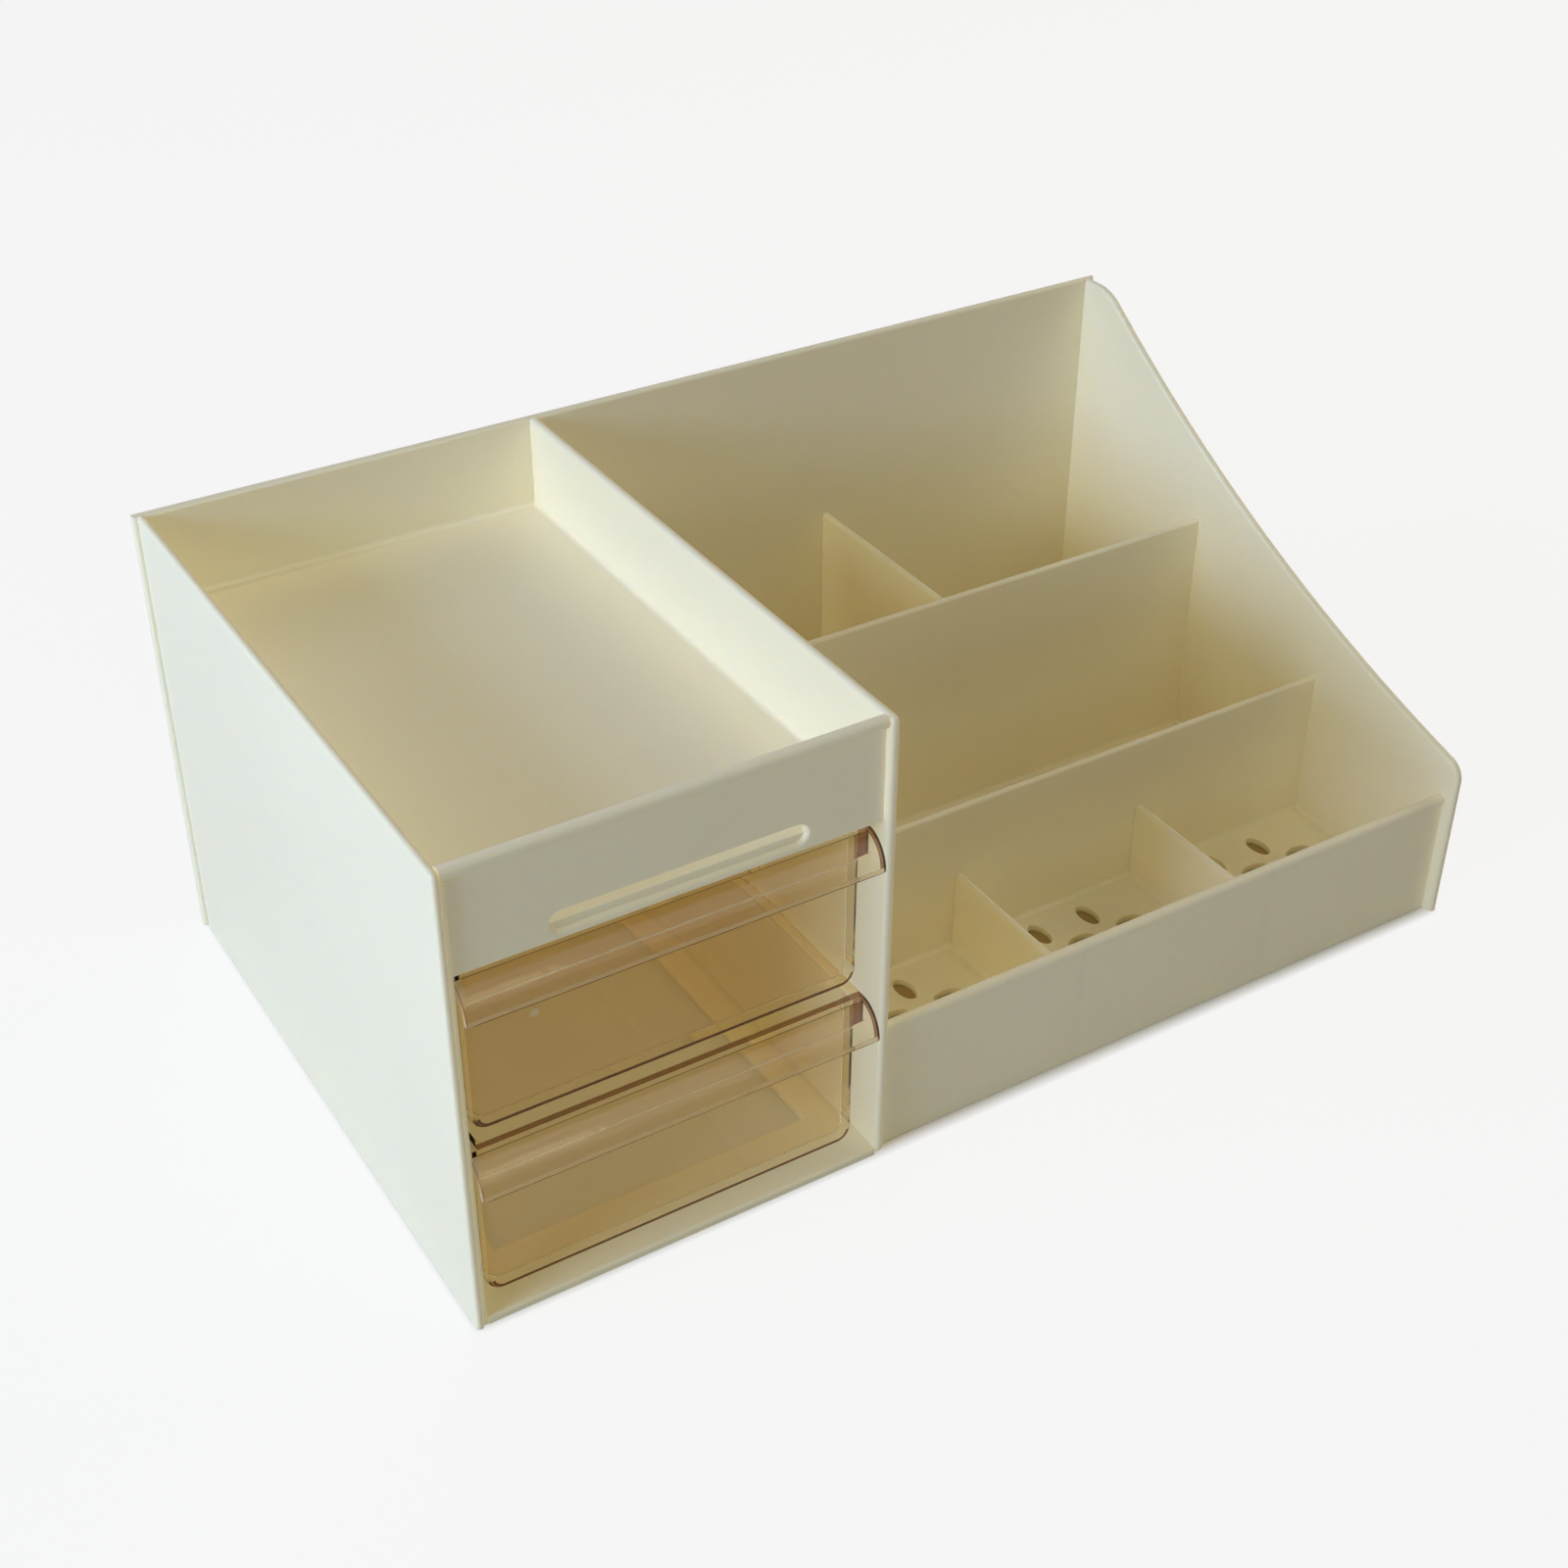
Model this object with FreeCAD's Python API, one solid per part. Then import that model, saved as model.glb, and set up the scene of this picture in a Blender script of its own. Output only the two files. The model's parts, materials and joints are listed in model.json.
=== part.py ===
import FreeCAD, Part
import math
import os

from FreeCAD import Vector

# A countertop cosmetic organizer: a drawer tower with a tray on top at the left,
# and an open bay with dividers, under a swept side panel, at the right.
# Lengths are in millimetres. While a piece is drawn, x runs from the left side's
# outer face, y from the noses of the upright panels to the back, and z up.

# Overall case
case_width = 296.0
case_depth = 175.0
case_height = 127.0
bottom = 0.0

# Panels of the case
side_panel_thickness = 2.0
right_panel_thickness = 2.4
liner_thickness = 1.1
partition_thickness = 2.6
back_panel_thickness = 2.6
back_panel_overhang = 1.2
floor_thickness = 2.0
tower_width = 109.6
front_corner_radius = 1.6
partition_foot_radius = 2.6
rim_share = 0.46

# Swept top edge of the right side panel
sweep_front_height = 47.9
sweep_top_flat = 13.0
sweep_sag = 9.5
sweep_front_radius = 6.5
sweep_top_radius = 14.0

# Tray above the drawers, with its fascia
tray_depth = 25.4
fascia_setback = 1.8
fascia_thickness = 2.0
bead_height = 3.0
bead_depth = 3.2
bead_setback = 0.6
bead_radius = 1.3
slot_length = 61.5
slot_height = 4.8
slot_offset = 1.2
liner_setback = 0.8
liner_nose_radius = 0.5

# Floor of the drawer bay
bay_floor_setback = 0.6
bay_floor_lip_radius = 0.9
window_side_border = 9.0
window_front_border = 18.4
window_back_border = 18.0
window_corner_radius = 1.0

# Open bay: front panel, floors and dividers
front_panel_setback = 3.1
front_panel_thickness = 2.0
front_panel_height = 37.7
front_bead_overlap = 0.5
divider_thickness = 2.0
front_row_depth = 50.9
front_divider_height = 47.6
middle_row_depth = 53.0
rear_divider_height = 73.2
front_row_divider_height = 26.0
front_row_width = 59.5
front_row_compartments = 3

# Oval holes in the front floor
hole_length = 9.0
hole_width = 5.0
hole_pitch = 8.3
hole_columns = 5
hole_rows = 5

# Drawers, which share out the height of their bay
drawer_setback = 6.2
drawer_back_gap = 4.4
drawer_side_gap = 2.95
drawer_floor_gap = 0.4
drawer_top_gap = 3.4
drawer_between_gap = 4.6
drawer_wall = 1.6
drawer_front_thickness = 1.8
drawer_floor_thickness = 1.6
drawer_bottom_radius = 4.25
drawer_end_radius = 1.5
drawer_inner_radius = 2.0
drawer_count = 2

# Finger hood along the top of each drawer, and the flanges that carry the drawer
hood_reach = 7.4
hood_drop = 8.5
hood_thickness = 1.6
flange_side_clearance = 0.8
flange_thickness = 2.0
ear_height = 8.0

# Runners
runner_width = 2.3
runner_thickness = 2.0
running_clearance = 0.3

# One overrun serves every cut
overrun = 5.0

# Places worked out from the sizes above
case_back = case_depth - back_panel_thickness
hood_overhang = hood_reach - drawer_setback
bay_left = side_panel_thickness + liner_thickness
bay_right = tower_width - partition_thickness
bay_centre = (bay_left + bay_right) / 2
tray_floor_top = case_height - tray_depth
tray_floor_bottom = tray_floor_top - floor_thickness
fascia_back = fascia_setback + fascia_thickness
open_left = tower_width
open_right = case_width - right_panel_thickness
open_centre = (open_left + open_right) / 2
front_row_front = front_panel_setback + front_panel_thickness
front_divider_front = front_row_front + front_row_depth
middle_row_front = front_divider_front + divider_thickness
rear_divider_front = middle_row_front + middle_row_depth
back_row_front = rear_divider_front + divider_thickness
drawers_low = floor_thickness + drawer_floor_gap
drawers_high = tray_floor_bottom - drawer_top_gap
drawer_pitch = (drawers_high - drawers_low + drawer_between_gap) / drawer_count
drawer_height = drawer_pitch - drawer_between_gap
drawer_left = bay_left + drawer_side_gap
drawer_right = bay_right - drawer_side_gap
drawer_back = case_back - drawer_back_gap
drawer_front_back = drawer_setback + drawer_front_thickness

case_centre = Vector(-case_width / 2, -(case_depth - hood_overhang) / 2, bottom)
along_x = Vector(1, 0, 0)
along_y = Vector(0, 1, 0)
along_z = Vector(0, 0, 1)


def block(x_range, y_range, z_range):
    """A box between two places along each axis."""
    low = Vector(x_range[0], y_range[0], z_range[0])
    high = Vector(x_range[1], y_range[1], z_range[1])
    size = high - low
    return Part.makeBox(size.x, size.y, size.z, low)


def solid_from(edges, travel):
    """The solid that a closed outline sweeps out along one travel."""
    wire = Part.Wire(edges)
    return Part.Face(wire).extrude(travel)


def edge_is_at(edge, axis, place):
    """Whether a whole edge lies in the plane where one coordinate is place."""
    return all(abs(getattr(v.Point, axis) - place) < Part.Precision.approximation() for v in edge.Vertexes)


def edges_at(shape, **places):
    """The edges that lie in every plane named, such as y=0.0."""
    return [e for e in shape.Edges if all(edge_is_at(e, axis, at) for axis, at in places.items())]


def rim_radius(thickness):
    """The radius that nearly closes a thin panel's edge into a half round."""
    return thickness * rim_share


def round_outline(panel, x_range, y_range, z_range):
    """Rounds both long edges of a panel's outline, apart from its bottom and its back."""
    rims = []
    for side in x_range:
        for edge in edges_at(panel, x=side):
            if not edge_is_at(edge, "z", z_range[0]) and not edge_is_at(edge, "y", y_range[1]):
                rims.append(edge)
    return panel.makeFillet(rim_radius(x_range[1] - x_range[0]), rims)


def left_side_panel():
    """A full-height wall with a rounded nose at its front and a rounded rim on top."""
    x_range = (0, side_panel_thickness)
    panel = block(x_range, (0, case_back), (bottom, case_height))
    panel = panel.makeFillet(front_corner_radius, edges_at(panel, y=0, z=case_height))
    return round_outline(panel, x_range, (0, case_back), (bottom, case_height))


def middle_partition():
    """Like the left side, but rounded at its foot too."""
    x_range = (bay_right, tower_width)
    panel = block(x_range, (0, case_back), (bottom, case_height))
    panel = panel.makeFillet(partition_foot_radius, edges_at(panel, y=0, z=bottom))
    panel = panel.makeFillet(front_corner_radius, edges_at(panel, y=0, z=case_height))
    return round_outline(panel, x_range, (0, case_back), (bottom, case_height))


def right_side_panel():
    """Low at the front, then one hollow sweep up to a short flat at the back."""
    front = Vector(open_right, 0, sweep_front_height)
    crest = Vector(open_right, case_depth - sweep_top_flat, case_height)
    middle = (front + crest) / 2 - along_z * sweep_sag
    foot = Vector(open_right, 0, bottom)
    heel = Vector(open_right, case_back, bottom)
    top_back = Vector(open_right, case_back, case_height)
    outline = [
        Part.makeLine(foot, front),
        Part.Arc(front, middle, crest).toShape(),
        Part.makeLine(crest, top_back),
        Part.makeLine(top_back, heel),
        Part.makeLine(heel, foot),
    ]
    panel = solid_from(outline, along_x * right_panel_thickness)
    panel = panel.makeFillet(sweep_front_radius, edges_at(panel, y=front.y, z=front.z))
    panel = panel.makeFillet(sweep_top_radius, edges_at(panel, y=crest.y, z=crest.z))
    return round_outline(panel, (open_right, case_width), (0, case_back), (bottom, case_height))


def back_panel():
    """Closes the whole back, with rounded edges a little proud of the sides."""
    x_range = (-back_panel_overhang, case_width + back_panel_overhang)
    panel = block(x_range, (case_back, case_depth), (bottom, case_height))
    rims = []
    for face in (case_back, case_depth):
        for edge in edges_at(panel, y=face):
            if not edge_is_at(edge, "z", bottom):
                rims.append(edge)
    return panel.makeFillet(rim_radius(back_panel_thickness), rims)


def left_bay_liner():
    """Thin wall inside the left side, from the base up to the tray floor."""
    y_range = (liner_setback, case_back)
    liner = block((side_panel_thickness, bay_left), y_range, (bottom, tray_floor_bottom))
    return liner.makeFillet(liner_nose_radius, edges_at(liner, y=liner_setback, x=bay_left))


def bay_floor():
    """Frame under the drawers, with one rectangular window."""
    y_range = (bay_floor_setback, case_back)
    floor = block((bay_left, bay_right), y_range, (bottom, floor_thickness))
    floor = floor.makeFillet(bay_floor_lip_radius, edges_at(floor, y=bay_floor_setback, z=floor_thickness))
    window_x = (bay_left + window_side_border, bay_right - window_side_border)
    window_y = (bay_floor_setback + window_front_border, case_back - window_back_border)
    window = block(window_x, window_y, (bottom - overrun, floor_thickness + overrun))
    uprights = [e for e in window.Edges if abs(e.tangentAt(e.FirstParameter).z) > rim_share]
    return floor.cut(window.makeFillet(window_corner_radius, uprights))


def tray_floor():
    x_range = (side_panel_thickness, bay_right)
    return block(x_range, (fascia_back, case_back), (tray_floor_bottom, tray_floor_top))


def bead(x_range, y_range, top):
    """A rounded bar along the top of a panel."""
    bar = block(x_range, y_range, (top - bead_height, top))
    long_edges = [e for e in bar.Edges if abs(e.tangentAt(e.FirstParameter).x) > rim_share]
    return bar.makeFillet(bead_radius, long_edges)


def slot(centre_x, low, y_range):
    """The long round-ended slot, as a solid to cut away."""
    radius = slot_height / 2
    half = slot_length / 2 - radius
    middle = low + radius
    bar_x = (centre_x - half, centre_x + half)
    bar = block(bar_x, y_range, (low, low + slot_height))
    for end in bar_x:
        centre = Vector(end, y_range[0], middle)
        round_end = Part.makeCylinder(radius, y_range[1] - y_range[0], centre, along_y)
        bar = bar.fuse(round_end)
    return bar.removeSplitter()


def fascia():
    """Front of the tray: a wall with a bead on top, a rib over the liner, and the slot."""
    left = side_panel_thickness
    wall_top = case_height - bead_radius
    wall = block((left, bay_right), (fascia_setback, fascia_back), (tray_floor_bottom, wall_top))
    rib_top = case_height - bead_height
    rib = block((left, bay_left), (liner_setback, fascia_back), (tray_floor_bottom, rib_top))
    rib = rib.makeFillet(liner_nose_radius, edges_at(rib, y=liner_setback, x=bay_left))
    top_bead = bead((left, bay_right), (bead_setback, bead_setback + bead_depth), case_height)
    whole = wall.fuse([rib, top_bead]).removeSplitter()
    cut_range = (liner_setback - overrun, fascia_back + overrun)
    return whole.cut(slot(bay_centre + slot_offset, tray_floor_top, cut_range))


def front_panel():
    """Low front of the open bay, with a bead on top."""
    x_range = (open_left, open_right)
    back = front_panel_setback + front_panel_thickness
    wall = block(x_range, (front_panel_setback, back), (bottom, front_panel_height - bead_radius))
    bead_y = (front_panel_setback - front_bead_overlap, back + front_bead_overlap)
    return wall.fuse(bead(x_range, bead_y, front_panel_height)).removeSplitter()


def compartment_range(index):
    """The width of a compartment of the front row; the last one takes what is left."""
    left = open_left + index * (front_row_width + divider_thickness)
    is_last = index == front_row_compartments - 1
    return left, open_right if is_last else left + front_row_width


def oval_hole(x, y, long_way):
    """One elliptical hole through the floor, long along x or along y."""
    across = Vector(-long_way.y, long_way.x, 0)
    centre = Vector(x, y, bottom - overrun)
    long_end = centre + long_way * hole_length / 2
    side = centre + across * hole_width / 2
    outline = [Part.Ellipse(long_end, side, centre).toShape()]
    return solid_from(outline, along_z * (floor_thickness + 2 * overrun))


def hole_lattice(centre_x, centre_y):
    """Holes on every second place of a grid, turned a quarter from row to row."""
    holes = []
    for row in range(hole_rows):
        for column in range(hole_columns):
            from_centre = column - (hole_columns - 1) / 2
            row_from_centre = row - (hole_rows - 1) / 2
            if (row + column) % 2 == 0:
                continue
            long_way = along_y if row % 2 == 0 else along_x
            x = centre_x + from_centre * hole_pitch
            y = centre_y + row_from_centre * hole_pitch
            holes.append(oval_hole(x, y, long_way))
    return holes


def front_floor():
    """Floor of the front row, with a lattice of holes in each compartment."""
    y_range = (front_row_front, front_divider_front)
    floor = block((open_left, open_right), y_range, (bottom, floor_thickness))
    holes = []
    for index in range(front_row_compartments):
        holes.extend(hole_lattice(sum(compartment_range(index)) / 2, sum(y_range) / 2))
    return floor.cut(holes)


def rear_floor():
    return block((open_left, open_right), (middle_row_front, case_back), (bottom, floor_thickness))


def cross_divider(front, low, high):
    """A divider right across the open bay, with a rounded top."""
    back = front + divider_thickness
    divider = block((open_left, open_right), (front, back), (low, high))
    tops = edges_at(divider, y=front, z=high) + edges_at(divider, y=back, z=high)
    return divider.makeFillet(rim_radius(divider_thickness), tops)


def lengthwise_divider(left, y_range, high):
    """A divider that runs front to back on the floor, with a rounded top."""
    right = left + divider_thickness
    divider = block((left, right), y_range, (floor_thickness, high))
    tops = edges_at(divider, x=left, z=high) + edges_at(divider, x=right, z=high)
    return divider.makeFillet(rim_radius(divider_thickness), tops)


def front_row_divider(index):
    left = compartment_range(index)[0] - divider_thickness
    return lengthwise_divider(left, (front_row_front, front_divider_front), front_row_divider_height)


def back_row_divider():
    left = open_centre - divider_thickness / 2
    return lengthwise_divider(left, (back_row_front, case_back), rear_divider_height)


def runner(drawer_bottom, on_left):
    """A ledge just under one flange of a drawer, behind the drawer's ear."""
    top = drawer_bottom + drawer_height - flange_thickness - running_clearance
    x_range = (bay_left, bay_left + runner_width) if on_left else (bay_right - runner_width, bay_right)
    y_range = (drawer_front_back + running_clearance, case_back)
    return block(x_range, y_range, (top - runner_thickness, top))


def tub_section(inset, y, low, high):
    """Outline of the tub from the front: square at the top, rounded at the bottom."""
    left = drawer_left + inset
    right = drawer_right - inset
    radius = drawer_bottom_radius - inset
    turn = radius * (1 - math.cos(math.pi / 4))
    left_turn = Vector(left + turn, y, low + turn)
    right_turn = Vector(right - turn, y, low + turn)
    return [
        Part.makeLine(Vector(left, y, high), Vector(left, y, low + radius)),
        Part.Arc(Vector(left, y, low + radius), left_turn, Vector(left + radius, y, low)).toShape(),
        Part.makeLine(Vector(left + radius, y, low), Vector(right - radius, y, low)),
        Part.Arc(Vector(right - radius, y, low), right_turn, Vector(right, y, low + radius)).toShape(),
        Part.makeLine(Vector(right, y, low + radius), Vector(right, y, high)),
        Part.makeLine(Vector(right, y, high), Vector(left, y, high)),
    ]


def below(shape, place, top):
    """The edges of one end of a tub, apart from those along its open top."""
    return [e for e in edges_at(shape, y=place) if not edge_is_at(e, "z", top)]


def tub(low):
    """The drawer's box: rounded below, open on top."""
    top = low + drawer_height
    outline = tub_section(0, drawer_setback, low, top)
    outer = solid_from(outline, along_y * (drawer_back - drawer_setback))
    ends = below(outer, drawer_setback, top) + below(outer, drawer_back, top)
    outer = outer.makeFillet(drawer_end_radius, ends)
    floor = low + drawer_floor_thickness
    inner_top = top + overrun
    inner_back = drawer_back - drawer_wall
    outline = tub_section(drawer_wall, drawer_front_back, floor, inner_top)
    inner = solid_from(outline, along_y * (inner_back - drawer_front_back))
    ends = below(inner, drawer_front_back, inner_top) + below(inner, inner_back, inner_top)
    return outer.cut(inner.makeFillet(drawer_inner_radius, ends))


def quarter_ellipse(start, corner, end):
    """The quarter of an ellipse that is tangent to both legs of a corner."""
    curve = Part.BezierCurve()
    curve.setPoles([start, corner, end])
    curve.setWeight(2, math.sqrt(1 / 2))
    return curve.toShape()


def hood(x_range, top):
    """A quarter-round lip that curls forward and down from the drawer's top."""
    x = x_range[0]
    root = drawer_setback
    tip = root - hood_reach
    low = top - hood_drop
    inner_top = top - hood_thickness
    inner_tip = tip + hood_thickness
    outer_root = Vector(x, root, top)
    outer_tip = Vector(x, tip, low)
    inner_root = Vector(x, root, inner_top)
    inner_end = Vector(x, inner_tip, low)
    outline = [
        quarter_ellipse(outer_root, Vector(x, tip, top), outer_tip),
        Part.makeLine(outer_tip, inner_end),
        quarter_ellipse(inner_end, Vector(x, inner_tip, inner_top), inner_root),
        Part.makeLine(inner_root, outer_root),
    ]
    return solid_from(outline, along_x * (x_range[1] - x_range[0]))


def flange(x_range, top):
    """The strip that rides on a runner, with an ear at its front end."""
    strip = block(x_range, (drawer_setback, drawer_back - drawer_end_radius), (top - flange_thickness, top))
    ear = block(x_range, (drawer_setback, drawer_front_back), (top - ear_height, top))
    return strip.fuse(ear)


def drawer(low):
    """One moulding: tub, hood and both flanges."""
    top = low + drawer_height
    outer_left = bay_left + flange_side_clearance
    outer_right = bay_right - flange_side_clearance
    rest = [
        hood((outer_left, outer_right), top),
        flange((outer_left, drawer_left + drawer_wall), top),
        flange((drawer_right - drawer_wall, outer_right), top),
    ]
    return tub(low).fuse(rest).removeSplitter()


def save(name, shape):
    """Centres a piece on the object's footprint and writes it."""
    placed = shape.translated(case_centre)
    if not placed.isValid() or not placed.Solids:
        raise RuntimeError(name + " isn't a sound solid")
    placed.exportStep("parts/" + name + ".step")
    print(name, len(placed.Solids), round(placed.Volume))


def main():
    os.makedirs("parts", exist_ok=True)
    save("left_side_panel", left_side_panel())
    save("left_bay_liner", left_bay_liner())
    save("middle_partition", middle_partition())
    save("right_side_panel", right_side_panel())
    save("back_panel", back_panel())
    save("bay_floor", bay_floor())
    save("tray_floor", tray_floor())
    save("fascia", fascia())
    save("front_panel", front_panel())
    save("front_floor", front_floor())
    save("rear_floor", rear_floor())
    save("front_row_left_divider", front_row_divider(1))
    save("front_row_right_divider", front_row_divider(2))
    save("front_divider", cross_divider(front_divider_front, bottom, front_divider_height))
    save("rear_divider", cross_divider(rear_divider_front, floor_thickness, rear_divider_height))
    save("back_row_divider", back_row_divider())
    for index, level in enumerate(("lower", "upper")):
        low = drawers_low + index * drawer_pitch
        save(level + "_left_runner", runner(low, True))
        save(level + "_right_runner", runner(low, False))
        save(level + "_drawer", drawer(low))


main()
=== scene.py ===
import json
import math

import bmesh
import bpy
from mathutils import Matrix, Vector

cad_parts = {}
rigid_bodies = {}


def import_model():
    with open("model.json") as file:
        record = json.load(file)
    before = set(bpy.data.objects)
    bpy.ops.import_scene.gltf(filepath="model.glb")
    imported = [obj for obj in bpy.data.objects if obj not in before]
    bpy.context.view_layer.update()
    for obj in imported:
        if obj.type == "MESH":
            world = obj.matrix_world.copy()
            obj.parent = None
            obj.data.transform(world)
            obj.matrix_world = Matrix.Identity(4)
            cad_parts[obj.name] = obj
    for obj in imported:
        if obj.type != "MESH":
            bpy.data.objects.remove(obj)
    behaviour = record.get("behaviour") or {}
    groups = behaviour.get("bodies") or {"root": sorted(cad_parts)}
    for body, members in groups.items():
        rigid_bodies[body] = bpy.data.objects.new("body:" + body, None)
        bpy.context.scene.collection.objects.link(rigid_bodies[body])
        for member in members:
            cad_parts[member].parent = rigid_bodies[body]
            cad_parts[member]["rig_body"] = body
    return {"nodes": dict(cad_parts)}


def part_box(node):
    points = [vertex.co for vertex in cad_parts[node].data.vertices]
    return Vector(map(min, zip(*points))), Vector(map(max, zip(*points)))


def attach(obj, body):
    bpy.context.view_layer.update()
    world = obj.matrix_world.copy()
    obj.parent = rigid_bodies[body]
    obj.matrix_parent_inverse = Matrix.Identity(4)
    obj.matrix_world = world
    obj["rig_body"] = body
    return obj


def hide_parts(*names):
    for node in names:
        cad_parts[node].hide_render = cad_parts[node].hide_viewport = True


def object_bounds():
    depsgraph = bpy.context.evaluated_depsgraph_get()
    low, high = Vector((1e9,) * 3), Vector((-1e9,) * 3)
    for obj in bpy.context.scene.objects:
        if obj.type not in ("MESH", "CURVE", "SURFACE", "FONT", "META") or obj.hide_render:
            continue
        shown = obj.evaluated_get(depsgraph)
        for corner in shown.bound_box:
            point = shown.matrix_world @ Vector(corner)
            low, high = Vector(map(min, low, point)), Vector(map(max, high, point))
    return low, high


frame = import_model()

bl_info = {
    "name": "Countertop cosmetic organizer",
    "version": (1, 0, 0),
    "blender": (4, 5, 0),
    "location": "View3D > Sidebar > Organizer",
    "description": "Builds a drawer tower with an open bay in cream and clear amber plastic",
    "category": "Add Mesh",
}

MM = 0.001
CAD_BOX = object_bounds()
ON_PLANE = 1e-6

# How much of a face's normal lies along an axis, at the least, when the face looks that way
FLAT = 0.99
STEEP = 0.7
SLANTED = 0.3

# How fine each texture is, in waves a metre
FLOW = 6.0
CLOUDS = 22.0
RIPPLES = 70.0
SWIRLS = 140.0
FROST_AND_HIGHLIGHT_CLOUDS = 400.0
SPECKS = 900.0
GRAIN = 2600.0

# The two attributes on a drawer's faces, and the (rim, painted highlight) shares of each kind of face
RIM = "rim"
PAINTED_HIGHLIGHT = "frost"
# The second share paints a pale matte highlight on the hood's lip, the fronts' ends and the left side,
# standing in for edges that catch the light, and painted light on the left ear
PLAIN = (0.0, 0.0)
RIGHT_EAR = (0.6, 0.0)
LEFT_EAR_PAINTED_LIGHT = (0.3, 0.7)
HOOD_RIGHT_END = (0.8, 0.0)
HOOD_LEFT_END = (0.4, 0.0)
HOOD_LIP_HIGHLIGHT = (0.0, 0.45)
TOP_EDGE = (0.8, 0.0)
FOOT = (1.0, 0.0)
FOOT_CORNER = (0.6, 0.0)
FRONT_END_HIGHLIGHT = (0.0, 0.45)
LEFT_SIDE_HIGHLIGHT = (0.0, 0.8)

# Sizes and places on the stage, in metres
FLOOR_REACH = 6.0
SOFT_BORDER = 4 * MM
LIGHT_DISTANCE = 1.6
LIGHT_AIM = 0.06

# Name, bearing and height in degrees, size in metres, power in watts and colour of each lamp
SOFT_LIGHTS = (
    ("window_light", -85, 20, (1.0, 0.4), 19.5, (0.70, 0.82, 1.0)),
    ("room_light_front", 0, 30, (0.8, 0.8), 2.3, (1.0, 0.94, 0.6)),
    ("room_light_right", 90, 30, (0.8, 0.8), 7.2, (1.0, 0.84, 0.55)),
    ("room_light_back", 180, 40, (0.8, 0.8), 1.4, (1.0, 0.93, 0.8)),
    ("room_light_top", 0, 89, (0.8, 0.8), 0.5, (1.0, 1.0, 1.0)),
)


# Sizes and colours that a user would change

def length(name, description, millimetres):
    """A length property with its default in millimetres."""
    return bpy.props.FloatProperty(
        name=name, description=description, default=millimetres * MM, unit="LENGTH", precision=5
    )


def colour(name, description, values):
    """A colour property with a linear default."""
    return bpy.props.FloatVectorProperty(
        name=name, description=description, default=values, subtype="COLOR", min=0, max=1
    )


def share(name, description, value):
    """A plain number between nought and one."""
    return bpy.props.FloatProperty(
        name=name, description=description, default=value, subtype="FACTOR", min=0, max=1
    )


def number(name, description, value):
    """A plain number."""
    return bpy.props.FloatProperty(name=name, description=description, default=value)


class CaseSettings(bpy.types.PropertyGroup):
    cream: colour("Cream", "Colour of the moulded case", (0.90, 0.85, 0.68))
    glow_through: colour("Glow through", "Light that passes one face of a wall", (0.70, 0.64, 0.48))
    cream_roughness: share("Roughness", "Roughness of the moulded case", 0.42)
    mark_reach: length("Sink mark", "How far a sink mark reaches to each side", 1.6)
    rim_share: share("Rim rounding", "Rim radius as a share of a wall's thickness", 0.46)
    nose_corner: length("Nose corner", "Rounding where a wall's nose meets its rim", 1.6)
    partition_foot: length("Partition foot", "Rounding at the partition's foot", 2.6)
    sweep_height: length("Sweep height", "Height of the right wall's front", 47.9)
    sweep_flat: length("Sweep flat", "Flat stretch at the back of the right wall's top", 13.0)
    sweep_sag: length("Sweep sag", "How far the sweep dips under a straight line", 9.5)
    sweep_corner: length("Sweep corner", "Run of the rounding at each end of the sweep", 4.6)
    cove: length("Cove", "Radius where a floor meets its walls", 1.8)
    tuck: length("Tuck", "How far a floor's border reaches into the walls", 0.9)
    seam: length("Seam", "Gap between the left wall and its liner", 0.05)
    bead_height: length("Bead height", "Height of the bars along the front edges", 3.0)
    bead_radius: length("Bead radius", "Rounding of the bars along the front edges", 1.3)
    front_wall: length("Front wall", "Thickness of the fascia and of the low front", 2.0)
    front_bead_overlap: length("Front bead overlap", "How far the low front's bar stands proud", 0.5)
    slot_length: length("Slot length", "Length of the fascia's slot", 61.5)
    slot_height: length("Slot height", "Height of the fascia's slot", 4.8)
    slot_offset: length("Slot offset", "How far right of its bay's middle the slot lies", 1.2)
    slot_lip: length("Slot lip", "Rounding of the slot's lower lip", 1.6)
    slot_brow: length("Slot brow", "Rounding of the slot's upper edge", 0.4)
    hole_length: length("Hole length", "Length of one oval hole", 9.0)
    hole_width: length("Hole width", "Width of one oval hole", 5.0)
    hole_pitch: length("Hole pitch", "Grid of the oval holes", 8.3)
    hole_round: length("Hole edge", "Rounding of a hole's upper edge", 0.3)
    window_side: length("Window side border", "Border beside the drawer floor's window", 9.0)
    window_front: length("Window front border", "Border before the drawer floor's window", 18.4)
    window_back: length("Window back border", "Border behind the drawer floor's window", 18.0)
    window_round: length("Window edge", "Softening of the window's edge", 0.3)
    bay_lip: length("Bay lip", "Rounding of the drawer floor's front edge", 0.9)
    ledge_round: length("Ledge edge", "Rounding of the runners' edges", 0.25)


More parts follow.
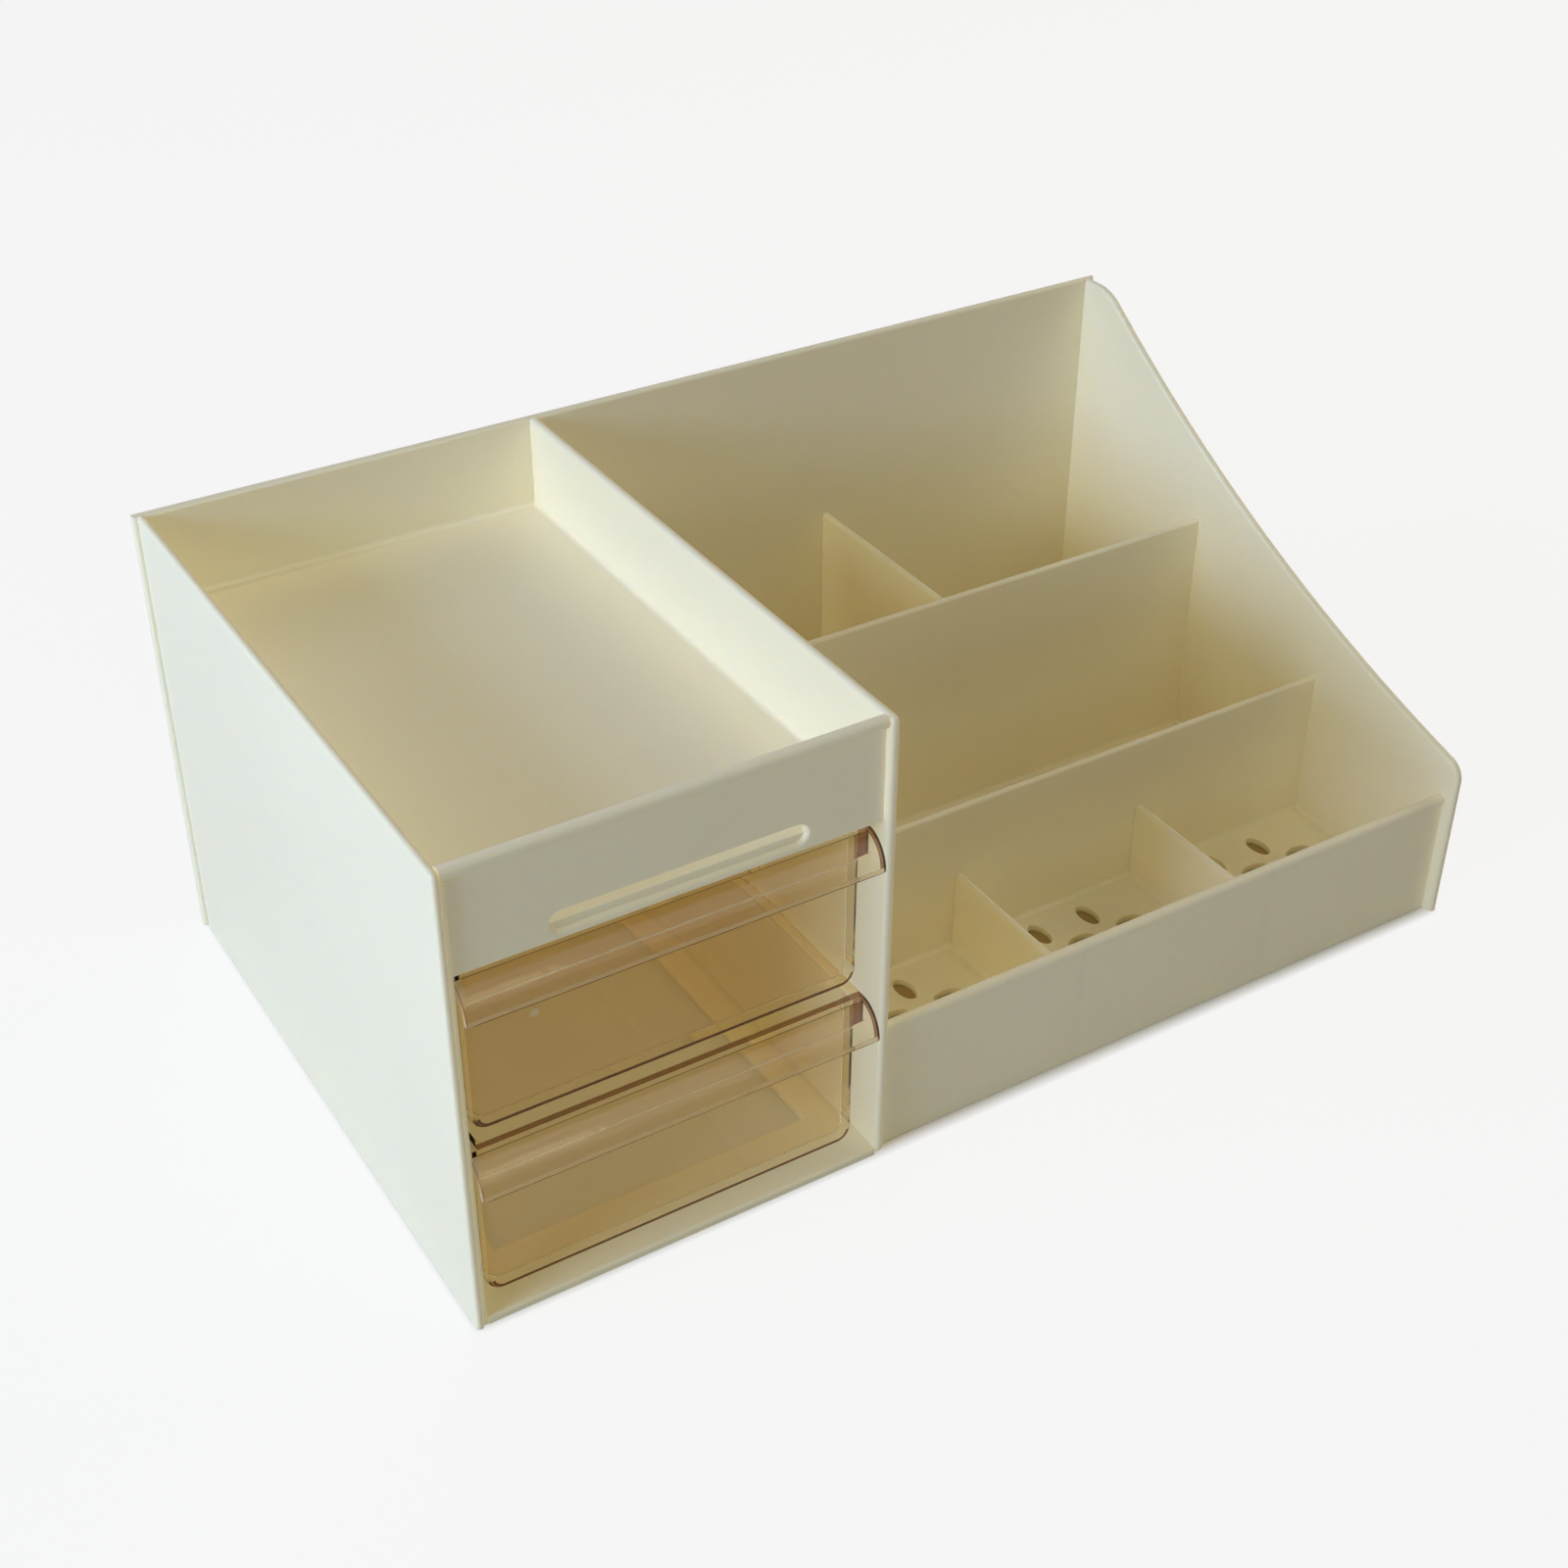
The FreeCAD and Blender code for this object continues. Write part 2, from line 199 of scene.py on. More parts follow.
class DrawerSettings(bpy.types.PropertyGroup):
    amber: colour("Amber", "Tint of one wall of the clear plastic", (0.985, 0.915, 0.775))
    bend_tint: colour("Bend tint", "Tint where the clear plastic bends", (0.36, 0.17, 0.09))
    rim_tint: colour("Rim tint", "Tint of the clear plastic's cut edges", (0.05, 0.012, 0.004))
    depth_tint: colour("Depth tint", "Colour that light keeps on its way through", (0.7, 0.4, 0.1))
    density: number("Density", "How fast the clear plastic takes up light, per metre", 3.0)
    haze: share("Haze", "Roughness of the clear plastic", 0.03)
    # Colour of the painted highlights on the drawers, of the painted reflection line across each front,
    # and of the real matte moulding mark
    frost: colour("Frost", "Colour of the frosted lines and edges", (0.88, 0.74, 0.50))
    hood_reach: length("Hood reach", "How far the finger hood stands before the front", 7.4)
    hood_drop: length("Hood drop", "How far the finger hood comes down", 8.5)
    front_wall: length("Front wall", "Thickness of a drawer's front", 1.8)
    edge_round: length("Edge rounding", "Rounding of the drawers' edges", 0.2)
    # The pale line across a front is a painted reflection of the hood's lip
    line_width: length("Line width", "Width of the frosted line across a front", 0.6)
    line_margin: length("Line margin", "Gap between the frosted line and a front's ends", 3.0)
    line_proud: length("Line proud", "How far the frosted line stands before the front", 0.12)
    line_sunk: length("Line sunk", "How far the frosted line sinks into the front", 0.05)
    foot_line: length("Foot line", "Width of the dark line round a front's foot", 0.22)
    foot_height: length("Foot height", "How far up a front its foot line may climb", 4.0)
    foot_longest: length("Foot length", "Longest strip that still counts as foot line", 120.0)
    hood_rim: length("Hood rim", "Width of the dark rim at a hood's right end", 0.7)
    ear_width: length("Ear width", "Width of the dark ear right of a front", 3.9)
    # The left ear is a pale matte patch of painted light
    left_ear_width: length("Left ear width", "Width of the matte ear left of a front", 2.7)
    # Where the painted highlights lie on the hood's lip and on a drawer's left side
    lip_depth: length("Lip depth", "How deep the hood's frosted lip is, front to back", 2.2)
    lip_half: length("Lip half height", "How far the hood's frosted lip spreads up and down", 0.4)
    side_skin: length("Side skin", "Depth of the matte skin on a drawer's left side", 0.3)
    top_skin: length("Top skin", "Depth of the dark edge along a front's top", 0.5)
    plate_skin: length("Plate skin", "How far before a front's face its plate still counts", 0.1)
    gate_radius: length("Gate mark", "Radius of the moulding mark on the upper front", 1.1)
    gate_across: length("Gate place", "Distance of the moulding mark from the left end", 18.35)
    gate_down: length("Gate depth", "Distance of the moulding mark below the top", 17.4)
    gate_thickness: length("Gate thickness", "Thickness of the moulding mark", 0.16)
    gate_proud: length("Gate proud", "How far the moulding mark's middle lies before the front", 0.02)


class StageSettings(bpy.types.PropertyGroup):
    camera_x: length("Camera X", "Place of the camera", -274.8)
    camera_y: length("Camera Y", "Place of the camera", -418.5)
    camera_z: length("Camera Z", "Place of the camera", 389.3)
    azimuth: number("Azimuth", "Degrees that the camera looks right of straight ahead", 31.947)
    elevation: number("Elevation", "Degrees that the camera looks down", 34.558)
    roll: number("Roll", "Degrees that the camera leans", 0.339)
    lens: number("Lens", "Focal length on a 36 mm frame", 52.075)
    light: number("Light", "Strength of all the soft lights together", 1.07)
    sky: share("Sky", "Strength of the plain light all round", 0.08)
    sky_colour: colour("Sky colour", "Colour of the plain light all round", (1.0, 1.0, 0.97))
    floor: colour("Floor", "Colour of the floor", (0.80, 0.80, 0.79))
    floor_drop: length("Floor drop", "Gap between the floor and the object's underside", 0.2)
    floor_shade: colour("Floor shade", "Colour of the floor under the oval holes", (0.47, 0.36, 0.16))
    floor_glow: share("Floor glow", "How far the floor is lifted to white for the camera", 0.86)


# Shader maths as plain expressions

class Signal:
    """One socket of a material, on which sums add their own nodes."""

    def __init__(self, recipe, socket):
        self.recipe = recipe
        self.socket = socket

    def _math(self, operation, first, second):
        return self.recipe.node("ShaderNodeMath", {"operation": operation}, {0: first, 1: second})

    def __add__(self, other):
        return self._math("ADD", self, other)

    def __radd__(self, other):
        return self._math("ADD", other, self)

    def __sub__(self, other):
        return self._math("SUBTRACT", self, other)

    def __rsub__(self, other):
        return self._math("SUBTRACT", other, self)

    def __mul__(self, other):
        return self._math("MULTIPLY", self, other)

    def __rmul__(self, other):
        return self._math("MULTIPLY", other, self)

    def __truediv__(self, other):
        return self._math("DIVIDE", self, other)

    def power(self, other):
        return self._math("POWER", self, other)

    def larger(self, other):
        return self._math("MAXIMUM", self, other)

    def size(self):
        return self.recipe.node("ShaderNodeMath", {"operation": "ABSOLUTE"}, {0: self})


class Recipe:
    """The nodes of a new material or sky, and the one method that adds to them."""

    def __init__(self, owner, end="ShaderNodeOutputMaterial"):
        owner.use_nodes = True
        self.owner = owner
        self.tree = owner.node_tree
        self.tree.nodes.clear()
        self.end = self.tree.nodes.new(end)

    def node(self, kind, settings=None, inputs=None, output=0):
        """Adds a node, sets its settings and then its sockets, and returns one output."""
        made = self.tree.nodes.new(kind)
        for name, value in (settings or {}).items():
            if name == "stops":
                self._set_stops(made.color_ramp, value)
            else:
                setattr(made, name, value)
        for name, value in (inputs or {}).items():
            if isinstance(value, Signal):
                self.tree.links.new(value.socket, made.inputs[name])
            else:
                made.inputs[name].default_value = value
        return Signal(self, made.outputs[output])

    def _set_stops(self, ramp, stops):
        """Gives a colour ramp its stops, as pairs of place and colour."""
        while len(ramp.elements) < len(stops):
            ramp.elements.new(1)
        for element, (position, tone) in zip(ramp.elements, stops):
            element.position = position
            element.color = (*tone, 1) if len(tone) == 3 else tone

    def finish(self, surface, volume=None):
        """Joins the last shader to the output and returns the material or sky."""
        self.tree.links.new(surface.socket, self.end.inputs["Surface"])
        if volume:
            self.tree.links.new(volume.socket, self.end.inputs["Volume"])
        return self.owner

    def place(self):
        """Places on the object, in metres."""
        return self.node("ShaderNodeTexCoord", output="Object")

    def ray(self, kind):
        """One for rays of a kind, and nought for others."""
        return self.node("ShaderNodeLightPath", output=kind)

    def share_at(self, attribute):
        """A face attribute's value."""
        return self.node("ShaderNodeAttribute", {"attribute_name": attribute}, output="Fac")

    def noise(self, scale, detail=2.0):
        """Soft noise over the object, from nought to one, with scale in waves a metre."""
        values = {"Vector": self.place(), "Scale": scale, "Detail": detail}
        return self.node("ShaderNodeTexNoise", None, values)

    def bump(self, height, strength, distance):
        """Surface normals for a height that varies over the object."""
        values = {"Strength": strength, "Distance": distance, "Height": height}
        return self.node("ShaderNodeBump", None, values)

    def mix_colour(self, factor, first, second):
        """A blend of two colours."""
        settings = {"data_type": "RGBA"}
        return self.node("ShaderNodeMix", settings, {0: factor, 6: first, 7: second}, output=2)

    def mix_shader(self, factor, first, second):
        """A blend of two shaders."""
        return self.node("ShaderNodeMixShader", None, {0: factor, 1: first, 2: second})


def tone(base, factor):
    """A colour made lighter or darker, as a node colour."""
    return tuple(min(channel * factor, 1) for channel in base) + (1,)


def cream_plastic(settings, marks=()):
    """Satin moulded plastic; marks are the places along X of faint upright sink marks, dented by bump
    and darkened with painted shade.
    """
    recipe = Recipe(bpy.data.materials.new("satin_cream_marked" if marks else "satin_cream"))
    cloud = recipe.noise(CLOUDS)
    flow = recipe.noise(FLOW, detail=1.0)
    base = recipe.mix_colour(cloud, tone(settings.cream, 0.975), tone(settings.cream, 1.02))
    grain = recipe.noise(GRAIN)
    swirl = recipe.noise(SWIRLS, detail=3.0)
    height = grain * 0.35 + swirl * 0.65
    if marks:
        across = recipe.node("ShaderNodeSeparateXYZ", None, {0: recipe.place()}, output="X")
        for mark in marks:
            nearness = 1 - (across - mark).size() / settings.mark_reach
            clamped = recipe.node("ShaderNodeClamp", None, {0: nearness})
            height = height - clamped * 0.9
            # Painted shade: the sink mark's colour is darkened a little, as if shade lay in the dent
            base = recipe.mix_colour(clamped * 0.10, base, tone(settings.cream, 0.80))
    roughness = settings.cream_roughness + (flow - 0.5) * 0.10 + (grain - 0.5) * 0.06
    surface = recipe.node("ShaderNodeBsdfPrincipled", None, {
        "Base Color": base,
        "Roughness": roughness,
        "Normal": recipe.bump(height, 0.10, 0.12 * MM),
        "IOR": 1.46,
        "Subsurface Weight": 0.5,
        "Subsurface Radius": (1.0, 0.75, 0.4),
        "Subsurface Scale": 1.2 * MM,
    })
    # The thin walls glow, so a part of each lamp's light passes them
    thin = recipe.node("ShaderNodeBsdfTransparent", None, {"Color": (*settings.glow_through, 1)})
    return recipe.finish(recipe.mix_shader(recipe.ray("Is Shadow Ray"), surface, thin))


def amber_plastic(settings):
    """Clear tinted plastic that darkens along its bends and marked edges, and turns pale and matte where
    a painted highlight is marked.
    """
    recipe = Recipe(bpy.data.materials.new("clear_amber"))
    ripple = recipe.noise(RIPPLES)
    specks = recipe.noise(SPECKS)
    facing = recipe.node("ShaderNodeLayerWeight", None, {"Blend": 0.5}, output="Facing")
    dark = facing.power(6.0) * 1.2 + recipe.share_at(RIM) + ripple * 0.02
    stops = list(zip((0.0, 0.55, 1.0), (settings.amber, settings.bend_tint, settings.rim_tint)))
    clear = recipe.node("ShaderNodeBsdfPrincipled", None, {
        "Base Color": recipe.node("ShaderNodeValToRGB", {"stops": stops}, {0: dark}),
        "Roughness": settings.haze + specks * 0.03,
        "Normal": recipe.bump(ripple, 0.06, 0.15 * MM),
        "IOR": 1.08,
        "Transmission Weight": 1.0,
        "Coat Weight": 0.6,
        "Coat Roughness": 0.03,
        "Coat IOR": 1.5,
    })
    # Painted highlight: a pale matte colour on the marked faces, standing in for edges that catch the
    # light
    matte = recipe.node("ShaderNodeBsdfPrincipled", None, {
        "Base Color": recipe.mix_colour(specks, tone(settings.frost, 0.95), tone(settings.frost, 1.0)),
        "Roughness": 0.5,
    })
    inside = recipe.node("ShaderNodeVolumeAbsorption", None, {
        "Color": (*settings.depth_tint, 1),
        "Density": settings.density,
    })
    return recipe.finish(recipe.mix_shader(recipe.share_at(PAINTED_HIGHLIGHT), clear, matte), inside)


def frosted_amber(settings):
    """The same plastic as a pale matte, for the painted reflection line across each front and the real
    moulding mark.
    """
    recipe = Recipe(bpy.data.materials.new("frosted_amber"))
    cloud = recipe.noise(FROST_AND_HIGHLIGHT_CLOUDS)
    surface = recipe.node("ShaderNodeBsdfPrincipled", None, {
        "Base Color": recipe.mix_colour(cloud, tone(settings.frost, 0.9), tone(settings.frost, 1.1)),
        "Roughness": 0.45,
        "Alpha": 0.45 + cloud * 0.1,
    })
    return recipe.finish(surface)


def inside_footprint(recipe, box):
    """One inside a box's footprint and nought outside, with a soft border."""
    inside = 1
    for axis, low, high in zip("XY", *box):
        run = recipe.node("ShaderNodeSeparateXYZ", None, {0: recipe.place()}, output=axis)
        depth = ((high - low) / 2 - (run - (low + high) / 2).size()) / SOFT_BORDER
        inside = inside * recipe.node("ShaderNodeClamp", None, {0: depth})
    return inside


def pale_floor(settings):
    """Plain matte floor, lifted to white beside the object for the camera, and dark under its holes."""
    recipe = Recipe(bpy.data.materials.new("pale_floor"))
    beside = 1 - inside_footprint(recipe, CAD_BOX)
    shaded = inside_footprint(recipe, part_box("front_floor"))
    base = recipe.mix_colour(shaded, (*settings.floor, 1), (*settings.floor_shade, 1))
    matte = recipe.node("ShaderNodeBsdfDiffuse", None, {"Color": base})
    glow = recipe.node("ShaderNodeEmission", None, {"Color": (1, 1, 1, 1), "Strength": 1.0})
    lift = recipe.ray("Is Camera Ray") * settings.floor_glow * beside
    return recipe.finish(recipe.mix_shader(lift, matte, glow))


# Mesh helpers

def block(low, high):
    """A box between two corners."""
    bm = bmesh.new()
    size = Vector(high) - Vector(low)
    middle = (Vector(high) + Vector(low)) / 2
    bmesh.ops.create_cube(bm, size=1, matrix=Matrix.Translation(middle) @ Matrix.Diagonal((*size, 1)))
    return bm


def edges_on(bm, **places):
    """The edges that lie wholly in each plane named, such as y=0.0."""
    found = []
    for edge in bm.edges:
        ends = [vert.co for vert in edge.verts]
        if all(abs(getattr(end, axis) - at) < ON_PLANE for axis, at in places.items() for end in ends):
            found.append(edge)
    return found


def round_off(bm, edges, radius, segments=5):
    """Rounds edges in a few steps."""
    bmesh.ops.bevel(
        bm, geom=edges, offset=radius, offset_type="OFFSET", segments=segments, profile=0.5,
        affect="EDGES", material=-1, clamp_overlap=True,
    )


def loop_of(bm, points):
    """A closed loop of edges through a row of points."""
    verts = [bm.verts.new(point) for point in points]
    return [bm.edges.new((a, b)) for a, b in zip(verts, verts[1:] + verts[:1])]


def loft(bm, rings):
    """Skins a row of outlines and returns their first and last loops."""
    loops = [loop_of(bm, ring) for ring in rings]
    for first, second in zip(loops, loops[1:]):
        bmesh.ops.bridge_loops(bm, edges=first + second)
    return loops[0], loops[-1]


def fill(bm, edges):
    """Closes a flat region between loops."""
    bmesh.ops.triangle_fill(bm, use_beauty=True, use_dissolve=False, edges=edges)


def level_ring(low, high, height, inset=0.0):
    """The corners of a box's cross-section at one height."""
    left, right = low.x + inset, high.x - inset
    near, far = low.y + inset, high.y - inset
    return [Vector((x, y, height)) for x, y in ((left, near), (right, near), (right, far), (left, far))]


def coved_floor(low, high, rooms, cove, steps=5):
    """A floor that curves up into the walls of its rooms; each room has its box and its holes' rings."""
    bm = bmesh.new()
    crest = high.z + cove
    base, brim = loft(bm, [level_ring(low, high, low.z), level_ring(low, high, crest)])
    for room_low, room_high, holes in rooms:
        rings = []
        for step in range(steps + 1):
            angle = math.pi / 2 * step / steps
            inset = cove * (1 - math.cos(angle))
            rings.append(level_ring(room_low, room_high, crest - cove * math.sin(angle), inset))
        top, inner = loft(bm, rings)
        brim += top
        for hole in holes:
            mouth, foot = loft(bm, hole)
            inner += mouth
            base += foot
        fill(bm, inner)
    fill(bm, brim)
    fill(bm, base)
    bmesh.ops.recalc_face_normals(bm, faces=bm.faces[:])
    return bm


def extruded(outline, left, right):
    """A bar along X from a closed outline of (y, z) pairs."""
    bm = bmesh.new()
    face = bm.faces.new([bm.verts.new((left, y, z)) for y, z in outline])
    grown = bmesh.ops.extrude_face_region(bm, geom=[face])
    moved = [item for item in grown["geom"] if isinstance(item, bmesh.types.BMVert)]
    bmesh.ops.translate(bm, verts=moved, vec=(right - left, 0, 0))
    bmesh.ops.recalc_face_normals(bm, faces=bm.faces[:])
    return bm


def beaded_outline(wall, bar, foot, top, settings, steps=6):
    """An upright wall's outline with a rounded bar on top, from the (front, back) of each."""
    radius = settings.bead_radius
    heights = (top - settings.bead_height + radius, top - radius)
    points = [(wall[0], foot)]
    under_front = math.acos((bar[0] + radius - wall[0]) / radius)
    under_back = math.acos((wall[1] - bar[1] + radius) / radius)
    turns = (
        (bar[0] + radius, heights[0], math.pi + under_front, math.pi),
        (bar[0] + radius, heights[1], math.pi, math.pi / 2),
        (bar[1] - radius, heights[1], math.pi / 2, 0.0),
        (bar[1] - radius, heights[0], 0.0, -under_back),
    )
    for y, z, start, end in turns:
        count = steps if abs(end - start) > 0.01 else 0
        for step in range(count + 1):
            angle = start + (end - start) * step / max(count, 1)
            points.append((y + radius * math.cos(angle), z + radius * math.sin(angle)))
    points.append((wall[1], foot))
    return points


def pierce(bm, depths, rings):
    """Lofts a hole through the large upright faces that lie at two depths."""
    first, last = loft(bm, rings)
    for depth, opening in zip(depths, (first, last)):
        flat = [f for f in bm.faces if all(abs(v.co.y - depth) < ON_PLANE for v in f.verts)]
        face = max(flat, key=lambda f: f.calc_area())
        border = list(face.edges)
        bmesh.ops.delete(bm, geom=[face], context="FACES_ONLY")
        fill(bm, border + opening)
    bmesh.ops.recalc_face_normals(bm, faces=bm.faces[:])
    return bm


def oval(centre, reach, across, steps=28):
    """Points round an ellipse, from its two half axes."""
    points = []
    for step in range(steps):
        angle = math.tau * step / steps
        points.append(centre + reach * math.cos(angle) + across * math.sin(angle))
    return points


def stadium(centre, reach, across, steps=12):
    """Points round a bar with half-round ends, from its half length and its radius."""
    points = []
    straight = reach - reach.normalized() * across.length
    for end in (1, -1):
        for step in range(steps + 1):
            angle = math.pi * (step / steps - 0.5)
            out = reach.normalized() * across.length * math.cos(angle)
            points.append(centre + (straight + out) * end + across * math.sin(angle) * end)
    return points


def trim(name, bm, node, material, sharp=50.0):
    """A finished piece that rides with a CAD node's body; alone it replaces nothing."""
    mesh = bpy.data.meshes.new(name)
    bm.to_mesh(mesh)
    bm.free()
    mesh.polygons.foreach_set("use_smooth", [True] * len(mesh.polygons))
    mesh.set_sharp_from_angle(angle=math.radians(sharp))
    mesh.materials.append(material)
    made = bpy.data.objects.new(name, mesh)
    bpy.context.scene.collection.objects.link(made)
    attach(made, frame["nodes"][node]["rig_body"])
    return made


def piece(name, bm, node, material):
    """A finished piece that stands for a CAD node."""
    made = trim(name, bm, node, material, sharp=40.0)
    weighted = made.modifiers.new("Even shading", "WEIGHTED_NORMAL")
    weighted.keep_sharp = True
    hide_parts(node)
    return made


def case_material():
    """The cream plastic, made once."""
    found = bpy.data.materials.get("satin_cream")
    return found or cream_plastic(bpy.context.scene.organizer_case)


def case_piece(name, bm, node, material=None):
    """A finished piece of the cream case."""
    return piece(name, bm, node, material or case_material())


# Pieces of the case

def soften_outline(bm, low, high, rim):
    """Rounds both faces' outlines of an upright wall, apart from its bottom and its back."""
    chosen = []
    for side in (low.x, high.x):
        for edge in edges_on(bm, x=side):
            ends = [vert.co for vert in edge.verts]
            at_bottom = all(abs(end.z - low.z) < ON_PLANE for end in ends)
            at_back = all(abs(end.y - high.y) < ON_PLANE for end in ends)
            if not at_bottom and not at_back:
                chosen.append(edge)
    round_off(bm, chosen, rim)
    return bm


def full_wall(node, settings, foot=0.0):
    """An upright wall at full height with a rounded nose and rim."""
    low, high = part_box(node)
    bm = block(low, high)
    round_off(bm, edges_on(bm, y=low.y, z=high.z), settings.nose_corner)
    if foot:
        round_off(bm, edges_on(bm, y=low.y, z=low.z), foot)
    return soften_outline(bm, low, high, (high.x - low.x) * settings.rim_share)


def swept_wall(node, settings, steps=26):
    """The right wall: low at the front, then one hollow sweep up to the back."""
    low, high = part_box(node)
    back_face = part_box("back_panel")[1].y
    front = Vector((low.y, low.z + settings.sweep_height))
    crest = Vector((back_face - settings.sweep_flat, high.z))
    chord = crest - front
    half = chord.length / 2
    sag = settings.sweep_sag * chord.x / chord.length
    radius = (half ** 2 + sag ** 2) / (2 * sag)
    up = Vector((-chord.y, chord.x)).normalized()
    centre = (front + crest) / 2 + up * (radius - sag)
    spread = math.asin(half / radius)
    along = chord.normalized()
    outline = [Vector((low.y, low.z))]
    for step in range(steps + 1):
        angle = spread * (2 * step / steps - 1)
        outline.append(centre + along * radius * math.sin(angle) - up * radius * math.cos(angle))
    outline.append(Vector((high.y, high.z)))
    outline.append(Vector((high.y, low.z)))
    bm = extruded(outline, low.x, high.x)
    for corner in (front, crest):
        round_off(bm, edges_on(bm, y=corner.x, z=corner.y), settings.sweep_corner, segments=9)
    return soften_outline(bm, low, high, (high.x - low.x) * settings.rim_share)


class ORGANIZER_OT_side_walls(bpy.types.Operator):
    """Builds the left wall, the partition and the swept right wall"""
    bl_idname = "organizer.side_walls"
    bl_label = "Side walls"

    def execute(self, context):
        settings = context.scene.organizer_case
        case_piece("left_wall", full_wall("left_side_panel", settings), "left_side_panel")
        partition = full_wall("middle_partition", settings, settings.partition_foot)
        case_piece("partition_wall", partition, "middle_partition")
        case_piece("swept_right_wall", swept_wall("right_side_panel", settings), "right_side_panel")
        return {"FINISHED"}


class ORGANIZER_OT_back_wall(bpy.types.Operator):
    """Builds the back wall with its rounded proud edges"""
    bl_idname = "organizer.back_wall"
    bl_label = "Back wall"

    def execute(self, context):
        settings = context.scene.organizer_case
        low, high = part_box("back_panel")
        bm = block(low, high)
        rims = []
        for face in (low.y, high.y):
            bottoms = edges_on(bm, y=face, z=low.z)
            rims += [edge for edge in edges_on(bm, y=face) if edge not in bottoms]
        round_off(bm, rims, (high.y - low.y) * settings.rim_share)
        case_piece("back_wall", bm, "back_panel")
        return {"FINISHED"}


def nosed_liner(low, high, radius):
    """A thin wall whose front edge is rounded on its right."""
    bm = block(low, high)
    round_off(bm, edges_on(bm, y=low.y, x=high.x), radius)
    return bm


class ORGANIZER_OT_tray(bpy.types.Operator):
    """Builds the tray's floor, the liner and the slotted fascia"""
    bl_idname = "organizer.tray"
    bl_label = "Tray and fascia"

    def execute(self, context):
        settings = context.scene.organizer_case
        low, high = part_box("tray_floor")
        spread = Vector((settings.tuck, settings.tuck, 0))
        bed = coved_floor(low - spread, high + spread, [(low, high, [])], settings.cove)
        case_piece("tray_bed", bed, "tray_floor")
        liner_low, liner_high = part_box("left_bay_liner")
        radius = (liner_high.x - liner_low.x) * settings.rim_share
        liner_low.x += settings.seam
        case_piece("tower_liner", nosed_liner(liner_low, liner_high, radius), "left_bay_liner")
        self.build_fascia(settings, liner_low, liner_high, radius)
        return {"FINISHED"}

    def build_fascia(self, settings, liner_low, liner_high, radius, steps=6):
        """The fascia with its bar and its slot, and the liner's nose beside it."""
        low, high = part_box("fascia")
        back = high.y
        front = back - settings.front_wall
        outline = beaded_outline((front, back), (low.y, back), low.z, high.z, settings)
        centre_x = (liner_high.x + high.x) / 2 + settings.slot_offset
        centre_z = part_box("tray_floor")[1].z + settings.slot_height / 2
        sections = []
        for step in range(steps + 1):
            angle = math.pi / 2 * step / steps
            sections.append((1 - math.sin(angle), front + settings.slot_lip * (1 - math.cos(angle))))
        sections.append((0.0, back))
        rings = []
        for spread, depth in sections:
            grown = (settings.slot_lip + settings.slot_brow) / 2 * spread
            dropped = (settings.slot_lip - settings.slot_brow) / 2 * spread
            centre = Vector((centre_x, depth, centre_z - dropped))
            reach = Vector((settings.slot_length / 2 + grown, 0, 0))
            rings.append(stadium(centre, reach, Vector((0, 0, settings.slot_height / 2 + grown))))
        wall = pierce(extruded(outline, low.x, high.x), (front, back), rings)
        case_piece("slotted_fascia", wall, "fascia")
        rib_high = Vector((liner_high.x, front, high.z - settings.bead_height))
        rib = nosed_liner(Vector((low.x, liner_low.y, low.z)), rib_high, radius)
        trim("fascia_rib", rib, "fascia", case_material())


class ORGANIZER_OT_drawer_bay(bpy.types.Operator):
    """Builds the windowed floor under the drawers and the four runners"""
    bl_idname = "organizer.drawer_bay"
    bl_label = "Drawer bay"

    def execute(self, context):
        settings = context.scene.organizer_case
        low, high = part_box("bay_floor")
        window_low = low + Vector((settings.window_side, settings.window_front, 0))
        window_high = high - Vector((settings.window_side, settings.window_back, 0))
        floor = bmesh.new()
        base, brim = loft(floor, [level_ring(low, high, low.z), level_ring(low, high, high.z)])
        foot, mouth = loft(floor, [
            level_ring(window_low, window_high, low.z),
            level_ring(window_low, window_high, high.z - settings.window_round),
            level_ring(window_low, window_high, high.z, -settings.window_round),
        ])
        fill(floor, base + foot)
        fill(floor, brim + mouth)
        bmesh.ops.recalc_face_normals(floor, faces=floor.faces[:])
        round_off(floor, edges_on(floor, y=low.y, z=high.z), settings.bay_lip)
        case_piece("drawer_bay_floor", floor, "bay_floor")
        for name in ("upper_left", "upper_right", "lower_left", "lower_right"):
            ledge = block(*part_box(name + "_runner"))
            round_off(ledge, ledge.edges[:], settings.ledge_round, segments=3)
            case_piece(name + "_ledge", ledge, name + "_runner")
        return {"FINISHED"}


def petal_holes(centre, foot, settings, reach=2):
    """Ovals on every second place of a grid, turned from row to row, each as rings from top down."""
    top, edge = centre.z, settings.hole_round
    profile = ((1, top), (0.3, top - 0.3 * edge), (0, top - edge), (0, foot))
    halves = (settings.hole_length / 2, settings.hole_width / 2)
    holes = []
    for row in range(-reach, reach + 1):
        for column in range(-reach, reach + 1):
            if (row + column) % 2 == 0:
                continue
            place = centre + Vector((column, row, 0)) * settings.hole_pitch
            across, along = reversed(halves) if row % 2 == 0 else halves
            rings = []
            for grown, height in profile:
                middle = Vector((place.x, place.y, height))
                more = edge * grown
                rings.append(oval(middle, Vector((across + more, 0, 0)), Vector((0, along + more, 0))))
            holes.append(rings)
    return holes


